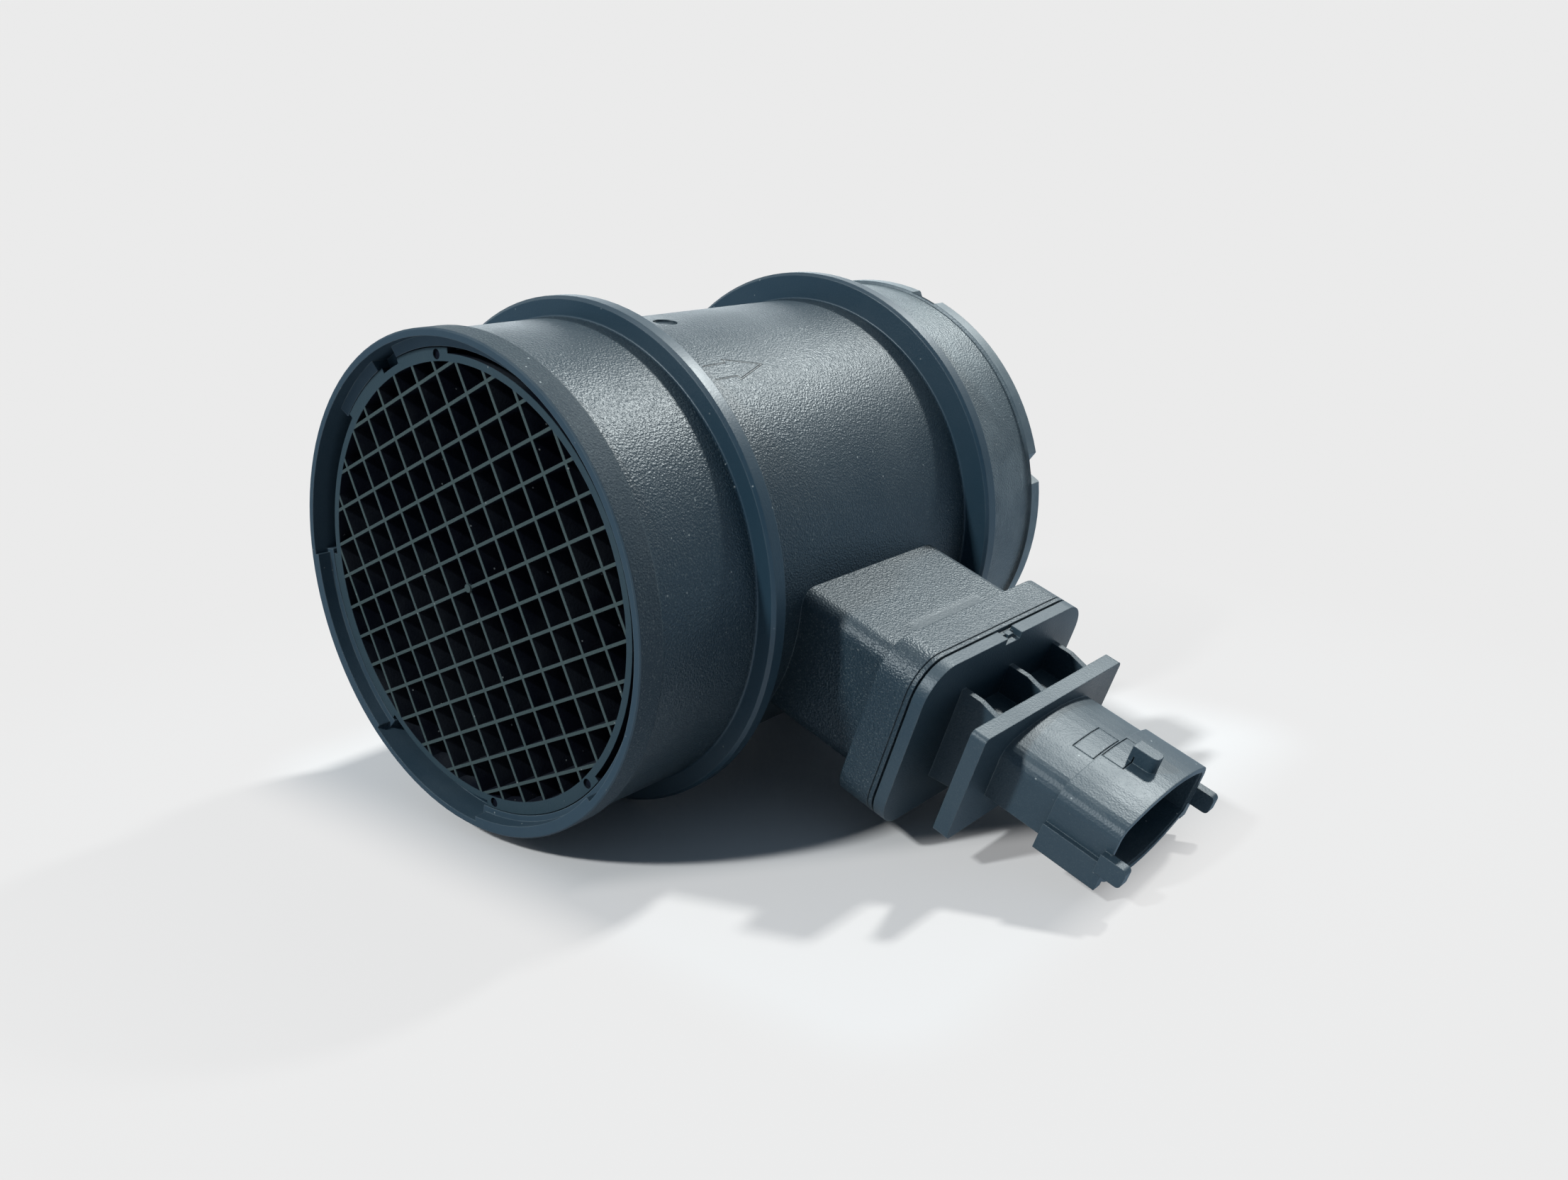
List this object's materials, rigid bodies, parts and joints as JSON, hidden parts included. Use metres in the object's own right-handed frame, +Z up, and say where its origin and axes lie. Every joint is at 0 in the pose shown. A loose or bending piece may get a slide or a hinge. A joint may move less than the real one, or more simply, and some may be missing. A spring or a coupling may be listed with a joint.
{
  "type": "mass airflow sensor",
  "caption": "Hot-film mass airflow sensor: moulded tube with hose spigots, inlet flow grid, side boss and plug-in sensor with its shrouded connector.",
  "frame": {"origin": "centre of the inlet face, on the tube's axis", "axes": "+Y along the tube from inlet to outlet, +Z up with the part at rest on its flanges and connector, +X towards the side the arm points to"},
  "size_m": [0.137, 0.1087, 0.0864],
  "materials": {
    "housing_plastic": "spark-eroded moulded black, faint blue-grey sheen",
    "grid_plastic": "moulded dark grey with dusty bar edges",
    "connector_plastic": "smooth moulded black, faintly blotched",
    "cover_plastic": "smooth moulded black",
    "seal_rubber": "matt black",
    "base_metal": "rolled sheet",
    "board_ceramic": "white alumina",
    "chip_resin": "matt moulded resin",
    "capacitor_ceramic": "tan with plated ends",
    "holder_plastic": "moulded black",
    "sensing_silicon": "polished silicon",
    "pin_metal": "tin plated",
    "bond_metal": "bright drawn wire",
    "bead_glass": "glass-coated bead",
    "lead_metal": "drawn wire"
  },
  "bodies": {
    "root": {"tube_housing": "housing_plastic", "inlet_grid": "grid_plastic", "sensor_carrier": "connector_plastic", "neck_seal": "seal_rubber", "bypass_cover": "cover_plastic", "electronics_cover": "cover_plastic", "base_plate": "base_metal", "hybrid_board": "board_ceramic", "control_chip": "chip_resin", "chip_capacitors": "capacitor_ceramic", "sensor_holder": "holder_plastic", "sensor_chip": "sensing_silicon", "pin_bond_wires": "bond_metal", "sensor_bond_wires": "bond_metal", "thermistor_bead": "bead_glass", "thermistor_lead_1": "lead_metal", "thermistor_lead_2": "lead_metal", "contact_pin_1": "pin_metal", "contact_pin_2": "pin_metal", "contact_pin_3": "pin_metal", "contact_pin_4": "pin_metal"}
  },
  "joints": []
}
